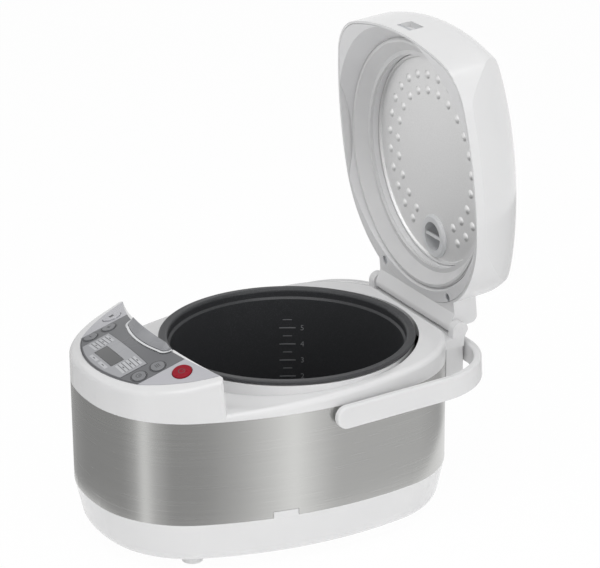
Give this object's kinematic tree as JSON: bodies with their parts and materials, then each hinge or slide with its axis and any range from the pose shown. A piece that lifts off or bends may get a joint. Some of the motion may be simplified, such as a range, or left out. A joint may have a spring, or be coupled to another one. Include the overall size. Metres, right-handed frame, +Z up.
{
  "type": "rice cooker",
  "caption": "Oblong rice cooker with an open hinged lid, lift-out non-stick pot, sloping key console, steel-wrapped body and a rear carrying bail.",
  "frame": {"origin": "on the table under the pot's axis, at the middle of the footprint", "axes": "+Z up, console towards -Y, hinge towards +Y, metres"},
  "size_m": [0.28, 0.416, 0.4506],
  "materials": {
    "white_gloss": "moulded, glossy white",
    "white_satin": "moulded, satin white",
    "brushed_steel": "brushed round the body, clear lacquer",
    "grey_film": "printed film, mid grey",
    "silver_film": "printed film, silver",
    "pale_film": "printed film, pale grey",
    "display_pane": "tinted display pane",
    "dark_plastic": "moulded, black",
    "board_green": "solder mask",
    "red_key": "moulded, glossy dark red",
    "silver_key": "painted, satin silver",
    "bright_trim": "polished",
    "nonstick": "dark non-stick coat",
    "sheet_metal": "plain sheet",
    "cast_alloy": "cast, machined top",
    "plain_steel": "zinc plated",
    "lid_sheet": "satin pressed sheet",
    "white_rubber": "translucent white silicone",
    "grey_rubber": "pale grey rubber",
    "pale_plastic": "moulded, pale"
  },
  "bodies": {
    "base": {"base_pan": "white_gloss", "feet": "grey_rubber", "base_screws": "plain_steel", "steel_band": "brushed_steel", "upper_housing": "white_gloss", "panel_grey": "grey_film", "side_panel_left": "silver_film", "side_panel_right": "silver_film", "display_surround": "pale_film", "display_window": "display_pane", "display_module": "dark_plastic", "control_board": "board_green", "release_trim": "bright_trim", "heat_shield": "sheet_metal", "heating_plate": "cast_alloy", "handle_pivots": "plain_steel", "inlet_socket": "dark_plastic", "inlet_pins": "bright_trim"},
    "lid": {"lid_shell": "white_gloss", "lid_liner": "white_satin", "lid_gasket": "white_rubber", "inner_lid_plate": "lid_sheet", "steam_vent": "pale_plastic", "lid_catch": "plain_steel", "lid_screws": "plain_steel", "hinge_pin": "plain_steel"},
    "pot": {"inner_pot": "nonstick"},
    "bail": {"handle": "white_gloss"},
    "release": {"release_bar": "white_gloss"},
    "hook": {"latch_hook": "white_satin"},
    "start": {"start_key": "red_key"},
    "cancel": {"cancel_key": "silver_key"},
    "menu": {"menu_key": "silver_key"},
    "timer": {"timer_key": "silver_key"},
    "plus": {"plus_key": "silver_key"},
    "minus": {"minus_key": "silver_key"},
    "sensor": {"centre_sensor": "cast_alloy"},
    "cup": {"condensate_cup": "white_gloss"},
    "cap": {"steam_cap": "white_gloss"}
  },
  "joints": [
    {"name": "lid_hinge", "type": "hinge", "parent": "base", "child": "lid", "pos_m": [0, 0.141, 0.173], "axis": [-1, 0, 0], "range_deg": [-88.3, 0]},
    {"name": "pot_lift", "type": "slide", "parent": "base", "child": "pot", "axis": [0, 0, 1], "range_m": [0, 0.15]},
    {"name": "handle_swing", "type": "hinge", "parent": "base", "child": "bail", "pos_m": [0, -0.012, 0.1406], "axis": [1, 0, 0], "range_deg": [0, 2.4]},
    {"name": "release_press", "type": "slide", "parent": "base", "child": "release", "axis": [0, -0.3007, 0.9537], "range_m": [-0.003, 0], "stiffness_N_per_m": 900, "springref_m": 0.001},
    {"name": "hook_turn", "type": "hinge", "parent": "base", "child": "hook", "pos_m": [0, -0.148, 0.156], "axis": [1, 0, 0], "range_deg": [0, 9.1]},
    {"name": "start_press", "type": "slide", "parent": "base", "child": "start", "axis": [0.1744, -0.2961, 0.9391], "range_m": [-0.0008, 0], "stiffness_N_per_m": 1500, "springref_m": 0.0003},
    {"name": "cancel_press", "type": "slide", "parent": "base", "child": "cancel", "axis": [-0.1744, -0.2961, 0.9391], "range_m": [-0.0008, 0], "stiffness_N_per_m": 1500, "springref_m": 0.0003},
    {"name": "menu_press", "type": "slide", "parent": "base", "child": "menu", "axis": [0.1221, -0.2985, 0.9466], "range_m": [-0.0008, 0], "stiffness_N_per_m": 1500, "springref_m": 0.0003},
    {"name": "timer_press", "type": "slide", "parent": "base", "child": "timer", "axis": [0.1221, -0.2985, 0.9466], "range_m": [-0.0008, 0], "stiffness_N_per_m": 1500, "springref_m": 0.0003},
    {"name": "plus_press", "type": "slide", "parent": "base", "child": "plus", "axis": [-0.1221, -0.2985, 0.9466], "range_m": [-0.0008, 0], "stiffness_N_per_m": 1500, "springref_m": 0.0003},
    {"name": "minus_press", "type": "slide", "parent": "base", "child": "minus", "axis": [-0.1221, -0.2985, 0.9466], "range_m": [-0.0008, 0], "stiffness_N_per_m": 1500, "springref_m": 0.0003},
    {"name": "sensor_press", "type": "slide", "parent": "base", "child": "sensor", "axis": [0, 0, 1], "range_m": [-0.0015, 0], "stiffness_N_per_m": 600, "springref_m": 0.002},
    {"name": "cup_drop", "type": "slide", "parent": "base", "child": "cup", "axis": [0, 0, 1], "range_m": [-0.03, 0]},
    {"name": "cap_lift", "type": "slide", "parent": "lid", "child": "cap", "axis": [0, 0.9951, 0.0993], "range_m": [0, 0.02]}
  ],
  "couplings": [
    {"joint": "hook_turn", "follows": "release_press", "rad_per_m": -52.36}
  ]
}
